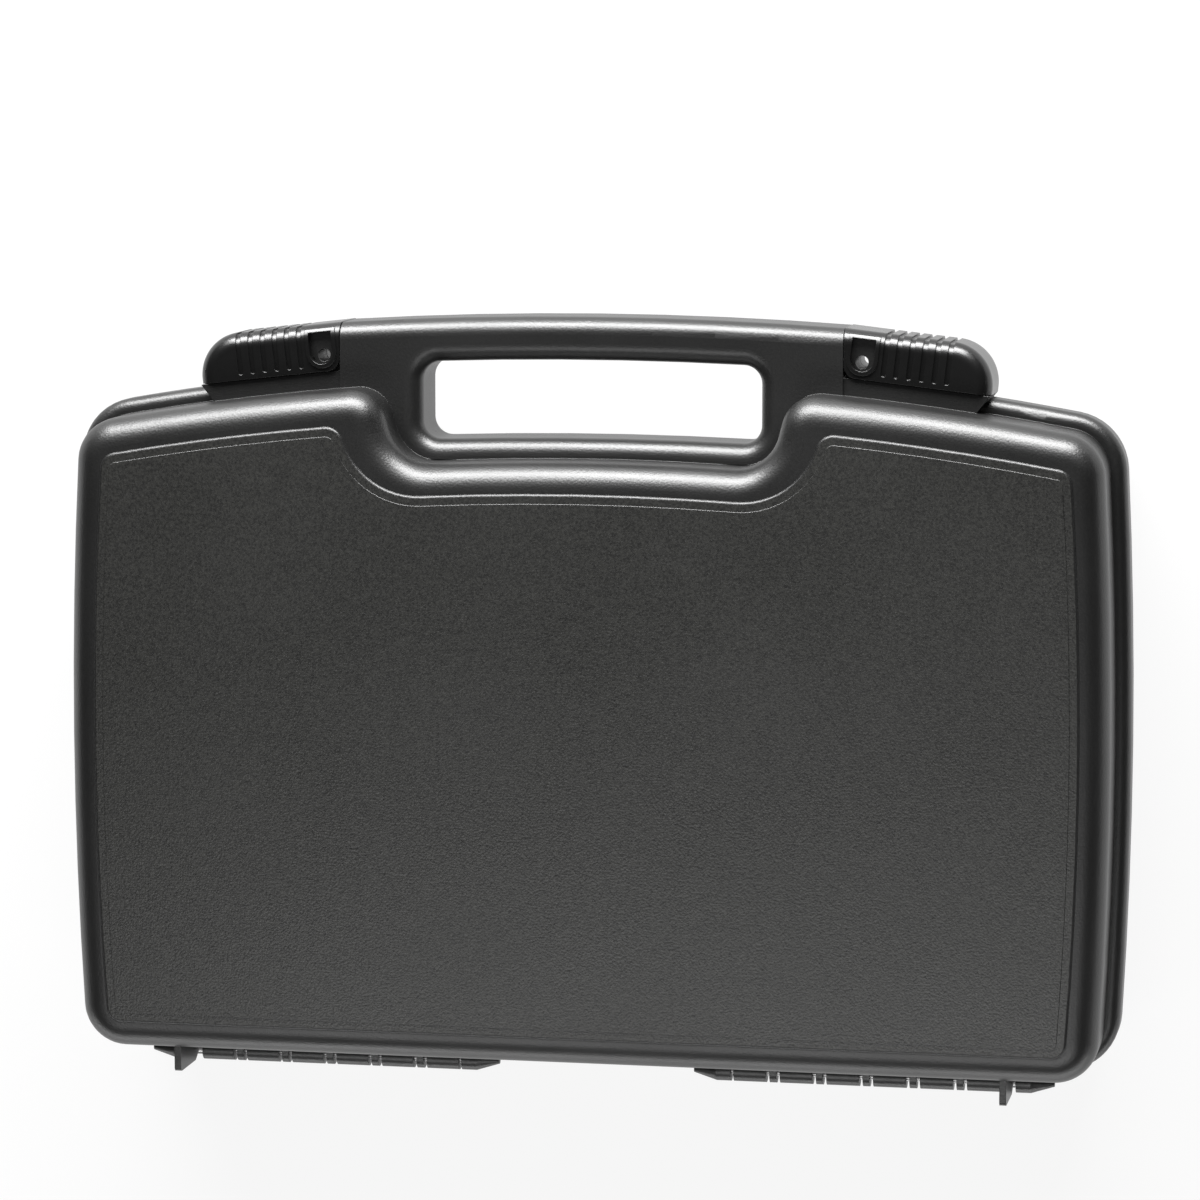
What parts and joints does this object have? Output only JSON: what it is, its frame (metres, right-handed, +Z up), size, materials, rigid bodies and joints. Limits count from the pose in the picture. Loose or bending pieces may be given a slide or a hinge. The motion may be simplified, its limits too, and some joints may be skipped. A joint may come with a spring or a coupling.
{
  "type": "wireless microphone case",
  "caption": "Moulded hard case with a rounded grained lid, arched carrying handle, sliding latches with padlock holes, pin hinges and a foam insert for hand microphones and their receiver.",
  "frame": {"origin": "centre of the base's flat underside, midway along the tray from hinge edge to crown", "axes": "+X along the hinge, +Y towards the hinge, -Y towards the handle and latches, +Z up to the lid"},
  "size_m": [0.4118, 0.2955, 0.09],
  "materials": {
    "shell_plastic": "grained",
    "latch_plastic": "satin",
    "pin_steel": "drawn",
    "foam": "open-cell foam"
  },
  "bodies": {
    "base": {"base_shell": "shell_plastic", "hinge_pin_right": "pin_steel", "hinge_pin_left": "pin_steel", "base_foam_floor": "foam", "base_foam_insert": "foam"},
    "lid": {"lid_shell": "shell_plastic", "lid_foam_pad": "foam"},
    "latch_right": {"latch_slider_right": "latch_plastic"},
    "latch_left": {"latch_slider_left": "latch_plastic"}
  },
  "joints": [
    {"name": "lid_hinge", "type": "hinge", "parent": "base", "child": "lid", "pos_m": [0, 0.1374, 0.05], "axis": [-1, 0, 0], "range_deg": [0, 115]},
    {"name": "latch_right_slide", "type": "slide", "parent": "lid", "child": "latch_right", "axis": [0.9935, 0.1141, 0], "range_m": [0, 0.01]},
    {"name": "latch_left_slide", "type": "slide", "parent": "lid", "child": "latch_left", "axis": [-0.9935, 0.1141, 0], "range_m": [0, 0.01]}
  ]
}
